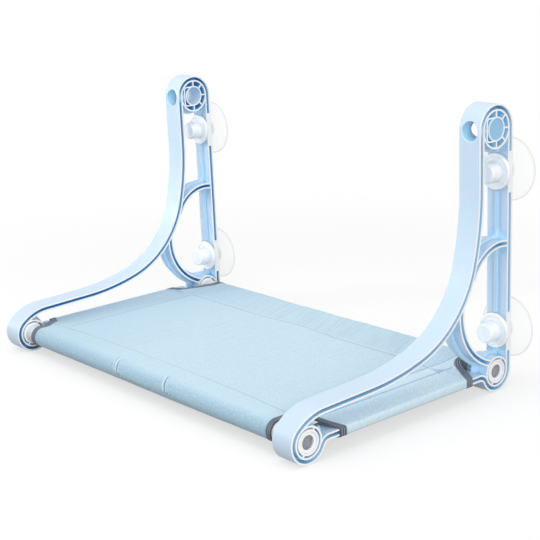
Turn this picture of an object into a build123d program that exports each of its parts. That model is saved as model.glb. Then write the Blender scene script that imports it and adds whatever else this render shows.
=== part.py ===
"""Window mounted cat perch.

Two moulded side frames stand on hubs and carry a front and a rear tube. A cloth deck is sleeved
on both tubes and wraps the bottom rails. Four suction cups behind the rear rails are drawn in by
four knobs. X runs from the left frame to the right, Y towards the window, Z up. The origin is in
the middle of the perch, on the surface that its hubs stand on.
"""

import os
from math import asin, atan2, cos, degrees, radians, sin, sqrt

from build123d import *

# Perch
frame_pitch = 520.0
hub_pitch = 278.5
top_hub_height = 267.0
fit_gap = 0.05
soft_gap = 0.3
overrun = 5.0

# Side frame moulding
frame_width = 28.0
wall = 2.0
channel = 3.6
web = 2.5
web_margin = 3.8
top_hub_radius = 26.5
low_hub_radius = 23.0
rail_drop = 5.0
hub_fillet = 7.0
corner_radius = 2.5
rib = 1.8

# Swoop of the front band, as tangent arcs of its middle line
swoop_end_height = 33.9
upper_bend_radius = 311.0
upper_bend_turn = 15.0
main_bend_radius = 120.5
main_bend_turn = 58.0
lower_bend_radius = 287.0
lower_bend_turn = 15.0
nose_radius = 60.0

# Bridge arch and lower arch, as circles of their middle lines
bridge_y = 6.0
bridge_z = 95.0
bridge_radius = 48.0
bridge_start = 70
bridge_turn = 90
lower_arch_y = 9.6
lower_arch_z = 75.8
lower_arch_radius = 66.8
lower_arch_start = 158
lower_arch_turn = 94

# Insides of the hubs
low_rib_count = 2
low_rib_angle = 60
top_rib_count = 5
socket_radius = 11.5
socket_wall = 1.5
socket_floor = 2.0
socket_recess = 1.0
chord_gap = 0.8
chord_corner = 3.6
cross_hole_radius = 10.4
cross_wall = 1.6
cross_chamfer = 0.8

# Cup pads on the rear rail
upper_pad_drop = 48.0
lower_pad_height = 42.0
pad_length = 44.5
stud_hole_radius = 4.4

# Tubes and their end bushings
tube_radius = 11.0
tube_wall = 1.2
bushing_radius = 13.5
bushing_face = 3.0
bushing_eye_radius = 7.6
bushing_step_radius = 11.0
bushing_step = 0.8
bushing_inset = 0.4

# Cloth deck, its edge tape and its closure strips
cloth = 1.5
tape = 1.9
tape_width = 8.0
sleeve_gap = 3.0
crease_reach = 38.0
front_fall = (6.0, 24.5)
rear_fall = (8.0, 24.5)
panel_start = 1.5
panel_dip = 0.15
seam_dip = 1.0
front_seam_reach = 33.0
rear_seam_reach = 60.0
wrap_radius = 0.6
wrap_start = 20.0
flap_low_reach = 13.0
flap_high_reach = 34.0
flap_inset = 14.0
strip = 1.2
strip_width = 18.0
strip_edge = 1.5

# Notches of the deck round the hubs: in from the frame at the sleeve, then along from the hub
# at the sleeve, at the frame's inner face and past its outer face. The deck lies a little to
# the right on the rear tube.
front_notch = (15.0, 9.0, 26.5, 42.5)
rear_right_notch = (4.0, 22.0, 26.5, 44.0)
rear_left_notch = (23.0, 12.0, 39.2, 41.0)
notch_round = 8.0

# Suction cups
cup_radius = 35.0
cup_standoff = 12.0
cup_boss_radius = 10.0
cup_boss_length = 3.5
cup_head_cover = 1.8
cup_dish = 7.0
cup_bulge = 1.6
cup_rim = 1.2
cup_steps = 4

# Studs that are moulded into the cups
stud_radius = 4.0
stud_head_radius = 7.0
stud_head = 2.5
stud_end_gap = 1.0

# Knobs
knob_collar_radius = 14.0
knob_collar = 2.8
knob_flange_radius = 19.8
knob_flange = 3.2
knob_bevel = 0.8
knob_dish_radius = 16.8
knob_dish = 0.8
knob_radius = 11.2
knob_length = 15.2
knob_edge = 2.0
knob_edge_share = 0.3
knob_cap = 2.5
knob_gap = 0.08
knob_clearance = 1.0

# Places that follow from the sizes above
band_depth = 2 * wall + channel
half_depth = band_depth / 2
ring_inset = wall + channel
low_ring_radius = low_hub_radius - ring_inset
top_ring_radius = top_hub_radius - ring_inset
half_width = frame_width / 2
frame_x = frame_pitch / 2
inner_x = frame_x - half_width
outer_x = frame_x + half_width
rear_hub_y = (hub_pitch - cup_standoff) / 2
front_hub_y = rear_hub_y - hub_pitch
hub_z = low_hub_radius
rail_rear_y = rear_hub_y + low_hub_radius
rail_front_y = rail_rear_y - band_depth
top_hub_y = low_hub_radius - top_hub_radius
pad_heights = {"upper": top_hub_height - upper_pad_drop, "lower": lower_pad_height}
sides = {"left": -1, "right": 1}
hub_places = {"front": front_hub_y, "rear": rear_hub_y}


def side_plane(x):
    """Plane square to X, its local X the depth and local Y the height from the rear hub."""
    return Plane(origin=(x, rear_hub_y, hub_z), x_dir=(0, 1, 0), z_dir=(1, 0, 0))


def cross_plane(y):
    """Plane square to Y, its local X the width and local Y the height from the hubs."""
    return Plane(origin=(0, y, hub_z), x_dir=(1, 0, 0), z_dir=(0, -1, 0))


def finish(piece, name):
    """Name a finished piece and write it to its own file."""
    piece.part.label = name
    export_step(piece.part, f"parts/{name}.step")


os.makedirs("parts", exist_ok=True)

# Outer outline of a side frame, from the rear hub. It runs over the top hub, down the swoop,
# round the front hub, along the bottom rail, round the rear hub and up the rear face.
front_center = Vector(-hub_pitch, 0)
bends = (
    (upper_bend_radius, upper_bend_turn),
    (main_bend_radius, main_bend_turn),
    (lower_bend_radius, lower_bend_turn),
)
swoop_start = swoop_end_height
turned = 0
for bend_radius, bend_turn in bends:
    rise = sin(radians(turned + bend_turn)) - sin(radians(turned))
    swoop_start += (bend_radius - half_depth) * rise
    turned += bend_turn
fillet_span = low_hub_radius + hub_fillet
fillet_angle = degrees(asin((rail_drop + hub_fillet) / fillet_span))
with BuildSketch() as outline:
    with BuildLine():
        crown = CenterArc((top_hub_y, top_hub_height), top_hub_radius, 0, 180)
        drop = Line(crown @ 1, (top_hub_y - top_hub_radius, swoop_start))
        bend_a = JernArc(drop @ 1, drop % 1, upper_bend_radius - half_depth, -upper_bend_turn)
        bend_b = JernArc(bend_a @ 1, bend_a % 1, main_bend_radius - half_depth, -main_bend_turn)
        bend_c = JernArc(bend_b @ 1, bend_b % 1, lower_bend_radius - half_depth, -lower_bend_turn)
        heading = bend_c % 1
        inward = heading.rotate(Axis.Z, 90)
        to_hub = front_center - (bend_c @ 1 + inward * nose_radius)
        across = to_hub.dot(inward)
        along = to_hub.dot(heading) - sqrt((nose_radius - low_hub_radius) ** 2 - across**2)
        reach = Line(bend_c @ 1, bend_c @ 1 + heading * along)
        hub_way = front_center - (reach @ 1 + inward * nose_radius)
        hub_bearing = degrees(atan2(hub_way.Y, hub_way.X))
        nose_turn = hub_bearing - degrees(atan2(-inward.Y, -inward.X))
        nose = JernArc(reach @ 1, heading, nose_radius, nose_turn)
        front_turn = 360 - fillet_angle - hub_bearing
        front_hub = JernArc(nose @ 1, nose % 1, low_hub_radius, front_turn)
        front_fillet = JernArc(front_hub @ 1, front_hub % 1, hub_fillet, fillet_angle - 90)
        fillet_end = -fillet_span * cos(radians(fillet_angle))
        bottom = Line(front_fillet @ 1, (fillet_end, -rail_drop))
        rear_fillet = JernArc(bottom @ 1, bottom % 1, hub_fillet, fillet_angle - 90)
        rear_hub = JernArc(rear_fillet @ 1, rear_fillet % 1, low_hub_radius, 180 - fillet_angle)
        Line(rear_hub @ 1, crown @ 0)
    make_face()


def inset_outline(amount):
    """The frame's outline drawn in by an amount."""
    return offset(outline.sketch, amount=-amount, mode=Mode.PRIVATE)


def arch(center, radius, start, turn, width):
    """A band of one width along an arc, ended inside the walls that it runs into."""
    with BuildSketch() as band:
        with BuildLine():
            CenterArc(center, radius, start, turn)
        trace(line_width=width)
        add(inset_outline(ring_inset + wall / 2), mode=Mode.INTERSECT)
        Circle(low_ring_radius - wall / 2, mode=Mode.SUBTRACT)
    return band.sketch


bridge = ((bridge_y, bridge_z), bridge_radius, bridge_start, bridge_turn)
lower_arch = (
    (lower_arch_y, lower_arch_z),
    lower_arch_radius,
    lower_arch_start,
    lower_arch_turn,
)

# Holes of the middle web: what the bands, arches and hubs leave, less the web's own margin,
# which is left out along the bottom rail where the deck wraps it
wrap_reaches = (hub_pitch - front_notch[2], rear_right_notch[2])
with BuildSketch() as web_holes:
    add(inset_outline(band_depth + web_margin))
    with Locations((-wrap_reaches[0], band_depth - rail_drop)):
        Rectangle(
            wrap_reaches[0] - wrap_reaches[1],
            2 * web_margin,
            align=(Align.MIN, Align.MIN),
        )
    for place in (bridge, lower_arch):
        add(arch(*place, band_depth + 2 * web_margin), mode=Mode.SUBTRACT)
    with Locations((0, 0), (-hub_pitch, 0)):
        Circle(low_ring_radius + web_margin, mode=Mode.SUBTRACT)
    with Locations((top_hub_y, top_hub_height)):
        Circle(top_ring_radius + web_margin, mode=Mode.SUBTRACT)

# Each of the three holes is drawn in and let out again, which rounds its corners
with BuildSketch() as rounded_holes:
    for hole in web_holes.faces().sort_by(SortBy.AREA)[-3:]:
        drawn_in = offset(hole, amount=-corner_radius, mode=Mode.PRIVATE)
        add(offset(drawn_in, amount=corner_radius, mode=Mode.PRIVATE))

# Walls that have the full width of the frame
with BuildSketch() as walls:
    add(outline.sketch)
    add(inset_outline(wall), mode=Mode.SUBTRACT)
    add(inset_outline(ring_inset))
    add(inset_outline(band_depth), mode=Mode.SUBTRACT)
    for place in (bridge, lower_arch):
        add(arch(*place, band_depth))
        add(arch(*place, channel) & inset_outline(band_depth), mode=Mode.SUBTRACT)
    with Locations((0, 0), (-hub_pitch, 0)):
        Circle(low_ring_radius)
        Circle(low_ring_radius - wall, mode=Mode.SUBTRACT)
    with Locations((top_hub_y, top_hub_height)):
        Circle(top_ring_radius)
        Circle(top_ring_radius - wall, mode=Mode.SUBTRACT)
    for height in pad_heights.values():
        with Locations((low_hub_radius - half_depth, height)):
            Rectangle(band_depth, pad_length)

# Walls inside the hubs: two short ribs hold each bushing, and five ribs and a square front
# wall hold the socket at the top
eye_radius = bushing_radius + fit_gap
socket_outer = socket_radius + socket_wall
chord_depth = socket_outer + chord_gap + rib
low_rib_length = low_ring_radius - wall / 2 - eye_radius
top_rib_length = top_ring_radius - wall / 2 - (socket_outer - socket_wall / 2)
chord_y = top_hub_y + rib / 2 - chord_depth
chord_reach = socket_outer - rib / 2
with BuildSketch() as chord_wall:
    with BuildLine():
        FilletPolyline(
            (top_hub_y, top_hub_height + chord_reach),
            (chord_y, top_hub_height + chord_reach),
            (chord_y, top_hub_height - chord_reach),
            (top_hub_y, top_hub_height - chord_reach),
            radius=chord_corner,
        )
    trace(line_width=rib)
with BuildSketch() as hub_walls:
    with Locations((0, 0), (-hub_pitch, 0)):
        with PolarLocations(eye_radius + low_rib_length / 2, low_rib_count, low_rib_angle):
            Rectangle(low_rib_length, rib)
    with Locations((top_hub_y, top_hub_height)):
        with PolarLocations(
            top_ring_radius - wall / 2 - top_rib_length / 2,
            top_rib_count,
            start_angle=-90,
            angular_range=180,
            endpoint=True,
        ):
            Rectangle(top_rib_length, rib)
        Circle(socket_outer)
    add(chord_wall.sketch)

# The boss of the cross hole runs from the front wall to the socket
hole_place = Plane(
    origin=(frame_x, rear_hub_y + top_hub_y, hub_z + top_hub_height),
    x_dir=(1, 0, 0),
    z_dir=(0, -1, 0),
)
with BuildPart() as cross_boss:
    with BuildSketch(hole_place):
        Circle(cross_hole_radius + cross_wall)
    extrude(amount=top_hub_radius)
    with BuildSketch(side_plane(frame_x)):
        add(inset_outline(wall / 2))
    extrude(amount=half_width, both=True, mode=Mode.INTERSECT)

# Side frame: an H section all round, with a middle web, hubs, arches and cup pads
with BuildPart() as side_frame_right:
    with BuildSketch(side_plane(frame_x)):
        add(outline.sketch)
        add(rounded_holes.sketch, mode=Mode.SUBTRACT)
        with Locations((0, 0), (-hub_pitch, 0)):
            Circle(eye_radius, mode=Mode.SUBTRACT)
    extrude(amount=web / 2, both=True)
    with BuildSketch(side_plane(frame_x)):
        add(walls.sketch)
        add(hub_walls.sketch)
    extrude(amount=half_width, both=True)
    add(cross_boss.part)
    with BuildSketch(side_plane(inner_x)):
        with Locations((top_hub_y, top_hub_height)):
            Circle(socket_radius)
    extrude(amount=frame_width - socket_recess - socket_floor, mode=Mode.SUBTRACT)
    with BuildSketch(side_plane(outer_x)):
        with Locations((top_hub_y, top_hub_height)):
            Circle(socket_radius)
    extrude(amount=-socket_recess, mode=Mode.SUBTRACT)
    with BuildSketch(hole_place):
        Circle(cross_hole_radius)
    extrude(amount=top_hub_radius + overrun, mode=Mode.SUBTRACT)
    with BuildSketch(hole_place.offset(top_hub_radius)):
        Circle(cross_hole_radius + cross_chamfer)
    extrude(amount=-cross_chamfer, taper=45, mode=Mode.SUBTRACT)
    for height in pad_heights.values():
        pad_place = Plane(
            origin=(frame_x, rail_front_y - web_margin, hub_z + height),
            x_dir=(1, 0, 0),
            z_dir=(0, -1, 0),
        )
        with Locations(pad_place):
            CounterBoreHole(
                radius=stud_hole_radius,
                counter_bore_radius=knob_flange_radius + knob_clearance,
                counter_bore_depth=web_margin,
                depth=web_margin + band_depth + overrun,
            )
finish(side_frame_right, "side_frame_right")

with BuildPart() as side_frame_left:
    add(mirror(side_frame_right.part, about=Plane.YZ, mode=Mode.PRIVATE))
finish(side_frame_left, "side_frame_left")

# Steel tubes between the frames, and the bushings that seat their ends in the hubs
bushing_outer = outer_x - bushing_inset
bushing_inner = inner_x + bushing_inset
tube_end = bushing_outer - bushing_face
for place, hub_y in hub_places.items():
    with BuildPart() as tube:
        with BuildSketch(Plane(origin=(0, hub_y, hub_z), x_dir=(0, 1, 0), z_dir=(1, 0, 0))):
            Circle(tube_radius)
            Circle(tube_radius - tube_wall, mode=Mode.SUBTRACT)
        extrude(amount=tube_end, both=True)
    finish(tube, f"{place}_tube")

    for side, sign in sides.items():
        with BuildPart() as bushing:
            with BuildSketch(cross_plane(hub_y)):
                with BuildLine():
                    Polyline(
                        (sign * bushing_inner, tube_radius + fit_gap),
                        (sign * bushing_inner, bushing_radius),
                        (sign * bushing_outer, bushing_radius),
                        (sign * bushing_outer, bushing_step_radius),
                        (sign * (bushing_outer - bushing_step), bushing_step_radius),
                        (sign * (bushing_outer - bushing_step), bushing_eye_radius),
                        (sign * tube_end, bushing_eye_radius),
                        (sign * tube_end, tube_radius + fit_gap),
                        close=True,
                    )
                make_face()
            revolve(axis=Axis((0, hub_y, hub_z), (1, 0, 0)))
        finish(bushing, f"bushing_{place}_{side}")

# Cloth deck. Its panel lies over both tubes and comes down to the bottom rails at the sides.
sleeve_inner = tube_radius + soft_gap
rail_top = band_depth - rail_drop
wrap_low = rail_top + soft_gap
crease_x = inner_x - crease_reach
panel_low = sleeve_inner - panel_dip
slope = (panel_low - wrap_low) / crease_reach
flap_drop = 2 * strip + cloth / 2 * sqrt(1 + slope**2)
panel_stations = (
    (front_hub_y + panel_start, panel_low),
    (front_hub_y + front_fall[0], panel_low),
    (front_hub_y + front_fall[1], wrap_low),
    (rear_hub_y - rear_fall[1], wrap_low),
    (rear_hub_y - rear_fall[0], panel_low),
    (rear_hub_y - panel_start, panel_low),
)
wrap_line = (
    (inner_x, wrap_low),
    (outer_x + soft_gap, wrap_low),
    (outer_x + soft_gap, -rail_drop - soft_gap),
    (inner_x - soft_gap - cloth, -rail_drop - soft_gap),
)
flap_line = (
    (inner_x - soft_gap - cloth, -rail_drop - soft_gap - cloth / 2),
    (inner_x - flap_low_reach, wrap_low + slope * flap_low_reach - flap_drop),
    (inner_x - flap_high_reach, wrap_low + slope * flap_high_reach - flap_drop),
)
wrap_span = (front_hub_y + wrap_start, rear_hub_y - wrap_start)
flap_span = (
    front_hub_y + front_seam_reach + flap_inset,
    rear_hub_y - rear_seam_reach - flap_inset,
)


def wrap(thickness):
    """The sheet that goes over, round and under the right bottom rail."""
    with BuildPart() as band:
        with BuildSketch(cross_plane(wrap_span[0])):
            with BuildLine():
                FilletPolyline(*wrap_line, radius=wrap_radius)
                offset(amount=thickness, side=Side.LEFT)
            make_face()
        extrude(amount=wrap_span[0] - wrap_span[1])
    return band.part


def flap():
    """The end of the cloth, from under the right rail up to its closure strip."""
    with BuildPart() as band:
        with BuildSketch(cross_plane(flap_span[0])):
            with BuildLine():
                Polyline(*flap_line)
            trace(line_width=cloth)
        extrude(amount=flap_span[0] - flap_span[1])
    return band.part


def wing(thickness):
    """The right side of the panel, which comes down from its crease to the frame."""
    with BuildPart() as slope_sheet:
        for start, end in zip(panel_stations, panel_stations[1:]):
            for station_y, edge_z in (start, end):
                with BuildSketch(cross_plane(station_y)):
                    Polygon(
                        (crease_x, panel_low),
                        (inner_x, edge_z),
                        (inner_x, edge_z + thickness),
                        (crease_x, panel_low + thickness),
                        align=None,
                    )
            loft(ruled=True)
    return slope_sheet.part


def deck(thickness):
    """The deck before its corners are cut: panel, two sleeves and the wraps round the rails."""
    with BuildPart() as sheet:
        with BuildSketch(side_plane(0)):
            with Locations((-panel_start, panel_low)):
                Rectangle(
                    hub_pitch - 2 * panel_start,
                    thickness,
                    align=(Align.MAX, Align.MIN),
                )
        extrude(amount=crease_x, both=True)
        for hub_y, seam in ((front_hub_y, front_seam_reach), (rear_hub_y, -rear_seam_reach)):
            with BuildSketch(side_plane(0)):
                with Locations((hub_y - rear_hub_y, 0)):
                    Circle(sleeve_inner)
                with Locations((hub_y - rear_hub_y + seam, sleeve_inner - seam_dip)):
                    Rectangle(soft_gap, 2 * soft_gap)
                make_hull()
                inside = offset(amount=0, mode=Mode.PRIVATE)
                offset(amount=thickness)
                add(inside, mode=Mode.SUBTRACT)
            extrude(amount=inner_x - sleeve_gap, both=True)
        for sheet_part in (wing(thickness), wrap(thickness), flap()):
            add(sheet_part)
            add(mirror(sheet_part, about=Plane.YZ, mode=Mode.PRIVATE))
    return sheet.part


def notch(side, hub_y, toward, reaches, grown):
    """A cutting block for one corner of the deck, beside a hub, grown by a width."""
    sleeve_x = side * (inner_x - reaches[0])
    far_x = side * (outer_x + overrun)
    far_y = hub_y - toward * (sleeve_inner + overrun)
    with BuildPart() as block:
        with BuildSketch(Plane.XY):
            with BuildLine():
                FilletPolyline(
                    (sleeve_x, far_y),
                    (sleeve_x, hub_y + toward * reaches[1]),
                    (side * inner_x, hub_y + toward * reaches[2]),
                    (far_x, hub_y + toward * reaches[3]),
                    radius=notch_round,
                )
                Polyline(
                    (far_x, hub_y + toward * reaches[3]),
                    (far_x, far_y),
                    (sleeve_x, far_y),
                )
            make_face()
            if grown:
                offset(amount=grown, kind=Kind.INTERSECTION)
        extrude(amount=2 * hub_z)
    return block.part


notches = {
    "front_left": (-1, front_hub_y, 1, front_notch),
    "front_right": (1, front_hub_y, 1, front_notch),
    "rear_left": (-1, rear_hub_y, -1, rear_left_notch),
    "rear_right": (1, rear_hub_y, -1, rear_right_notch),
}
cloth_sheet = deck(cloth)
tape_sheet = deck(tape)

with BuildPart() as deck_cloth:
    add(cloth_sheet)
    for place in notches.values():
        add(notch(*place, tape_width), mode=Mode.SUBTRACT)
finish(deck_cloth, "deck_cloth")

for name, place in notches.items():
    with BuildPart() as binding:
        add(tape_sheet)
        add(notch(*place, tape_width), mode=Mode.INTERSECT)
        add(notch(*place, 0), mode=Mode.SUBTRACT)
    finish(binding, f"binding_{name}")

# Closure strips between the deck and its flaps, one sewn to each
strip_x = inner_x - flap_high_reach + strip_edge
strip_z = panel_low - slope * (strip_x - crease_x)
strips = {"loop_strip": strip_z - strip, "hook_strip": strip_z - 2 * strip}
for name, low_z in strips.items():
    for side, sign in sides.items():
        with BuildPart() as closure:
            with BuildSketch(cross_plane(flap_span[0])):
                Polygon(
                    (sign * strip_x, low_z),
                    (sign * (strip_x + strip_width), low_z - slope * strip_width),
                    (sign * (strip_x + strip_width), low_z - slope * strip_width + strip),
                    (sign * strip_x, low_z + strip),
                    align=None,
                )
            extrude(amount=flap_span[0] - flap_span[1])
        finish(closure, f"{name}_{side}")

# Suction cups behind the rear rails, each with its moulded-in stud and the knob on it. Their
# sections are drawn with the depth behind the rail's rear face across and the radius upwards.
head_start = cup_head_cover
head_end = cup_head_cover + stud_head
knob_back = -band_depth - knob_collar
knob_front = knob_back - knob_flange
knob_tip = knob_front - knob_length
knob_round = knob_edge * knob_edge_share
bore_end = knob_tip + knob_cap
stud_tip = bore_end + stud_end_gap


def bulged(start, end, bulge):
    """Points along a shallow curve that stands out to the left of its chord."""
    chord = Vector(*end) - Vector(*start)
    aside = chord.rotate(Axis.Z, 90).normalized() * bulge
    points = []
    for step in range(cup_steps + 1):
        share = step / cup_steps
        points.append(Vector(*start) + chord * share + aside * (4 * share * (1 - share)))
    return points


for level, height in pad_heights.items():
    for side, sign in sides.items():
        place = Plane(
            origin=(sign * frame_x, rail_rear_y, hub_z + height),
            x_dir=(0, 1, 0),
            z_dir=(1, 0, 0),
        )
        axis = Axis(place.origin, place.x_dir)
        name = f"{level}_{side}"

        with BuildPart() as suction_cup:
            with BuildSketch(place):
                with BuildLine():
                    Polyline(
                        (0, stud_radius + fit_gap),
                        (0, cup_boss_radius),
                        *bulged(
                            (cup_boss_length, cup_boss_radius),
                            (cup_standoff - cup_rim, cup_radius),
                            cup_bulge,
                        ),
                        (cup_standoff, cup_radius),
                        *bulged(
                            (cup_standoff, cup_radius - cup_rim),
                            (cup_dish, stud_radius),
                            -cup_bulge,
                        ),
                        (cup_dish, 0),
                        (head_end + fit_gap, 0),
                        (head_end + fit_gap, stud_head_radius + fit_gap),
                        (head_start - fit_gap, stud_head_radius + fit_gap),
                        (head_start - fit_gap, stud_radius + fit_gap),
                        (0, stud_radius + fit_gap),
                    )
                make_face()
            revolve(axis=axis)
        finish(suction_cup, f"suction_cup_{name}")

        with BuildPart() as stud:
            with BuildSketch(place):
                Polygon(
                    (stud_tip, 0),
                    (head_end, 0),
                    (head_end, stud_head_radius),
                    (head_start, stud_head_radius),
                    (head_start, stud_radius),
                    (stud_tip, stud_radius),
                    align=None,
                )
            revolve(axis=axis)
        finish(stud, f"stud_{name}")

        with BuildPart() as knob:
            with BuildSketch(place):
                with BuildLine():
                    Polyline(
                        (bore_end, 0),
                        (bore_end, stud_radius + knob_gap),
                        (-band_depth, stud_radius + knob_gap),
                        (-band_depth, knob_collar_radius),
                        (knob_back, knob_collar_radius),
                        (knob_back, knob_flange_radius),
                        (knob_front + knob_bevel, knob_flange_radius),
                        (knob_front, knob_flange_radius - knob_bevel),
                        (knob_front, knob_dish_radius),
                        (knob_front + knob_dish, knob_dish_radius - knob_dish),
                        (knob_front + knob_dish, knob_radius),
                        (knob_tip + knob_edge, knob_radius),
                        (knob_tip + knob_round, knob_radius - knob_round),
                        (knob_tip, knob_radius - knob_edge),
                        (knob_tip, 0),
                        (bore_end, 0),
                    )
                make_face()
            revolve(axis=axis)
        finish(knob, f"knob_{name}")
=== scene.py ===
"""Looks of the window mounted cat perch: cloth, stitching, materials, studio and camera."""
import math
from collections import namedtuple
from functools import reduce

import bmesh
import bpy
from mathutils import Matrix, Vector, noise


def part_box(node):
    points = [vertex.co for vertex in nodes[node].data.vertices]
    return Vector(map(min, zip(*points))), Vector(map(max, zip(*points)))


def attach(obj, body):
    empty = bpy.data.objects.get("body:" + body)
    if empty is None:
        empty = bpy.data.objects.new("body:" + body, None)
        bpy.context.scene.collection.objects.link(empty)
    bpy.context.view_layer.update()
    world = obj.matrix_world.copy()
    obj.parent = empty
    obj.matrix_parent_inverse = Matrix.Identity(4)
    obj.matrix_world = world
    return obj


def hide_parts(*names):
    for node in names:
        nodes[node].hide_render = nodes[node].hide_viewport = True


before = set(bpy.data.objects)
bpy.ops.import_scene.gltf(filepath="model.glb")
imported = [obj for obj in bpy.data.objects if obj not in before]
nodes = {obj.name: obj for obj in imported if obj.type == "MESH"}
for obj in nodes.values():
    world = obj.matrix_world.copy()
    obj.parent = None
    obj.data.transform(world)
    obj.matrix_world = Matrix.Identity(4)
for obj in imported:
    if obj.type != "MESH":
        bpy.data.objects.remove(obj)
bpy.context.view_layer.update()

MM = 0.001
LEVELS = ("upper", "lower")

# Places read from the frame
tube_low, tube_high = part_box("front_tube")
rear_low, rear_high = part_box("rear_tube")
frame_low, frame_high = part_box("side_frame_right")
_, deck_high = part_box("deck_cloth")
stud_boxes = [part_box(f"stud_{level}_right") for level in LEVELS]
cup_boxes = [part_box(f"suction_cup_{level}_right") for level in LEVELS]
HUB_Z = (tube_low.z + tube_high.z) / 2
FRONT_Y = (tube_low.y + tube_high.y) / 2
REAR_Y = (rear_low.y + rear_high.y) / 2
TUBE_R = (tube_high.z - tube_low.z) / 2
INNER_X = frame_low.x
OUTER_X = frame_high.x
FRAME_X = (INNER_X + OUTER_X) / 2
FRAME_W = OUTER_X - INNER_X

# The frame's top hub, with its socket from the inside, the disc that closes the socket near the
# outer face, and the cross hole from the front
TOP_HUB = 26.5 * MM
TOP_HUB_Y = frame_high.y - TOP_HUB
TOP_HUB_Z = frame_high.z - TOP_HUB
SOCKET_R = 11.4 * MM
DISC_X = OUTER_X - 2 * MM
CROSS_HOLE_R = 10.65 * MM
CROSS_HOLE_END = TOP_HUB_Y - 14 * MM

# Small round pieces
THREAD_PITCH = 3 * MM
CUP_BOSS_R = 11 * MM
TUBE_BORE_R = 10.4 * MM

# Thickness of the cloth and of the tape over it, and how wide the tape is
CLOTH = 0.8 * MM
TAPE = 1.7 * MM
TAPE_W = 8 * MM
# Outside of the sleeves, and heights of the panel and of the cloth over and under the rails
SLEEVE_R = TUBE_R + 0.95 * MM
PANEL_Z = HUB_Z + SLEEVE_R
RAIL_TOP_Z = HUB_Z + 3.7 * MM
RAIL_UNDER_Z = HUB_Z - 6.1 * MM
# Across the deck: where its sides start to fall, where they fold and where the sleeves' grid
# ends, and the outer face of the wraps round the rails, with how round they turn there
CREASE_X = INNER_X - 44 * MM
FOLD_X = INNER_X - 2.5 * MM
SLEEVE_X = INNER_X - 3 * MM
WRAP_X = deck_high.x - 0.7 * MM
LIP = 2.2 * MM
# The sleeves' seams under the panel: how far from the tubes' axes, and at what height
FRONT_SEAM = 33 * MM
REAR_SEAM = 60 * MM
SEAM_Z = HUB_Z + 9.6 * MM
# How far from the tubes' axes the wraps start at both ends, and their flaps at the front and rear
WRAP_START = 20 * MM
FLAP_START = 47 * MM
FLAP_END = 74 * MM
# Radius of the notches' round corners, on the cloth's edge
ROUNDING = 8 * MM

# How far the deck's sides have come down, of the way to the rail's top: at their fold beside the
# frame and on the frame's edge, and how curved the way to the fold is
FALL_AT_FOLD = 0.5
FALL_AT_RAIL = 0.62
FALL_CURVE = 1.2

# A corner of the deck: its side, its hub and the way from there to the middle. The notch is how
# far inside the frame the sleeve ends, then how far from the hub its edge is at that end, at the
# frame's inner face and past the outer one. The fall is where the cloth starts and ends coming
# down beside the hub.
Corner = namedtuple("Corner", ("side", "hub_y", "toward", "notch", "fall"))
CORNERS = {
    "front_left": Corner(
        -1, FRONT_Y, 1, (15 * MM, 9 * MM, 26.5 * MM, 42.5 * MM), (12 * MM, 42 * MM)
    ),
    "front_right": Corner(
        1, FRONT_Y, 1, (15 * MM, 9 * MM, 26.5 * MM, 42.5 * MM), (20 * MM, 54 * MM)
    ),
    "rear_left": Corner(
        -1, REAR_Y, -1, (23 * MM, 12 * MM, 39.2 * MM, 41 * MM), (8 * MM, 32 * MM)
    ),
    "rear_right": Corner(
        1, REAR_Y, -1, (4 * MM, 22 * MM, 26.5 * MM, 44 * MM), (15 * MM, 36 * MM)
    ),
}

# Pinched folds across the front sleeve: place along the tube on top, how far that moves along
# for each degree down the front, and their height
SLEEVE_FOLDS = (
    (-42.5 * MM, 0.06 * MM, 2.1 * MM),
    (-51.5 * MM, 0.11 * MM, 1.3 * MM),
    (46.5 * MM, 0.09 * MM, 1.7 * MM),
)
TALLEST_FOLD = max(tall for _, _, tall in SLEEVE_FOLDS)
# The same folds by degrees round the tube from its top: where they rise, where they hook
# sideways and by how much, and where they fade under it
FOLD_RISE = (-24, 34)
FOLD_HOOK_TURN = (84, 110)
FOLD_HOOK = 12 * MM
FOLD_FADE = (92, 120)
# Pleats across the rear sleeve: place along the tube, how far it moves along on the way forward
# and how dark the painted shade along it is
REAR_PLEATS = (
    (-46.1 * MM, 0.28, 0.55),
    (26.9 * MM, 0.55, 0.40),
    (54.7 * MM, 0.434, 0.34),
)
# Folds that fan out from each corner: length, turn from the diagonal and height
CORNER_FOLDS = ((0.10, -0.42, 0.9 * MM), (0.14, -0.12, 1.0 * MM), (0.12, 0.2, 0.8 * MM))
DEEPEST_FOLD = -0.7 * MM
# How far beside a fold its ridge stands, and how far the cloth stays raised along the sleeve
RIDGE_ASIDE = 3 * MM
RAISED_REACH = 70 * MM

# Seams on the panel: the front one leans and bows, and the rear one rises to a peak. Their
# stitches run beside them. The rear sleeve's gathers show from the rear band on.
FRONT_LINE_Y, FRONT_LINE_LEAN, FRONT_LINE_BOW = -118 * MM, 0.0025, 0.17
REAR_LINE_Y, REAR_PEAK_X, REAR_PEAK, REAR_PEAK_BOW = 71.8 * MM, 18 * MM, 4.2 * MM, 1.2
LEFT_LINE_X = -200 * MM
RIGHT_LINE_X = 228.5 * MM
SIDE_CREASE_X = 243.5 * MM
SEAM_W = 1.5 * MM
STITCH_ASIDE = 2.6 * MM
STITCH_W = 1.1 * MM
STITCH_PITCH = 3.4 * MM
REAR_BAND = (68 * MM, 82 * MM)


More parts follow.
